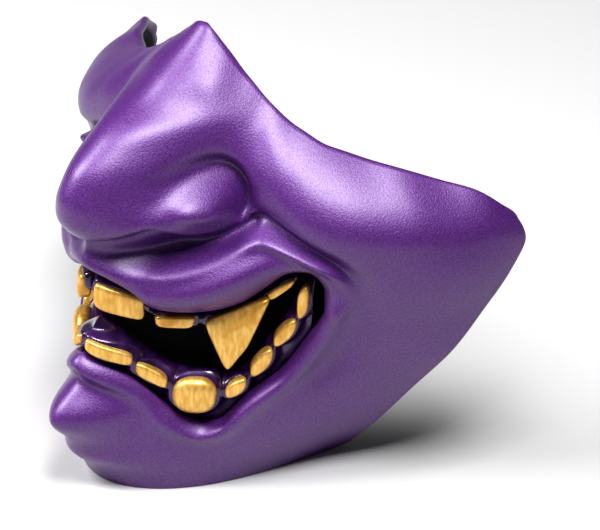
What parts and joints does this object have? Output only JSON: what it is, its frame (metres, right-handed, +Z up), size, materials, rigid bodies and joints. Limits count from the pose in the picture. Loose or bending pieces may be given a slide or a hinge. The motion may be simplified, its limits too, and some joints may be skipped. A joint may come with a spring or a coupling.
{
  "type": "half face mask",
  "caption": "Half face mask of a snarling ogre: hollow moulded shell over nose, cheeks and chin, with gum ridges, gold teeth and fangs.",
  "frame": {"origin": "centre of the bounding box's foot, on the surface the mask stands on", "axes": "+Z up, the face looks along -Y, +X is the mask's own left side as seen from the front, mirror plane X = 0"},
  "size_m": [0.1522, 0.1026, 0.126],
  "materials": {
    "purple_paint": "satin pearl purple paint",
    "gum_paint": "glossy dark purple paint",
    "gold_paint": "satin gold paint",
    "black_cloth": "matt black"
  },
  "bodies": {
    "root": {"mask_shell": "purple_paint", "upper_gum": "gum_paint", "lower_gum": "gum_paint", "mouth_backing": "black_cloth", "upper_incisor_right": "gold_paint", "upper_lateral_right": "gold_paint", "upper_fang_right": "gold_paint", "upper_rear_right": "gold_paint", "lower_incisor_right": "gold_paint", "lower_second_right": "gold_paint", "lower_tusk_right": "gold_paint", "lower_cheek_a_right": "gold_paint", "lower_cheek_b_right": "gold_paint", "lower_cheek_c_right": "gold_paint", "lower_cheek_d_right": "gold_paint", "upper_incisor_left": "gold_paint", "upper_lateral_left": "gold_paint", "upper_fang_left": "gold_paint", "upper_rear_left": "gold_paint", "lower_incisor_left": "gold_paint", "lower_second_left": "gold_paint", "lower_tusk_left": "gold_paint", "lower_cheek_a_left": "gold_paint", "lower_cheek_b_left": "gold_paint", "lower_cheek_c_left": "gold_paint", "lower_cheek_d_left": "gold_paint"}
  },
  "joints": []
}
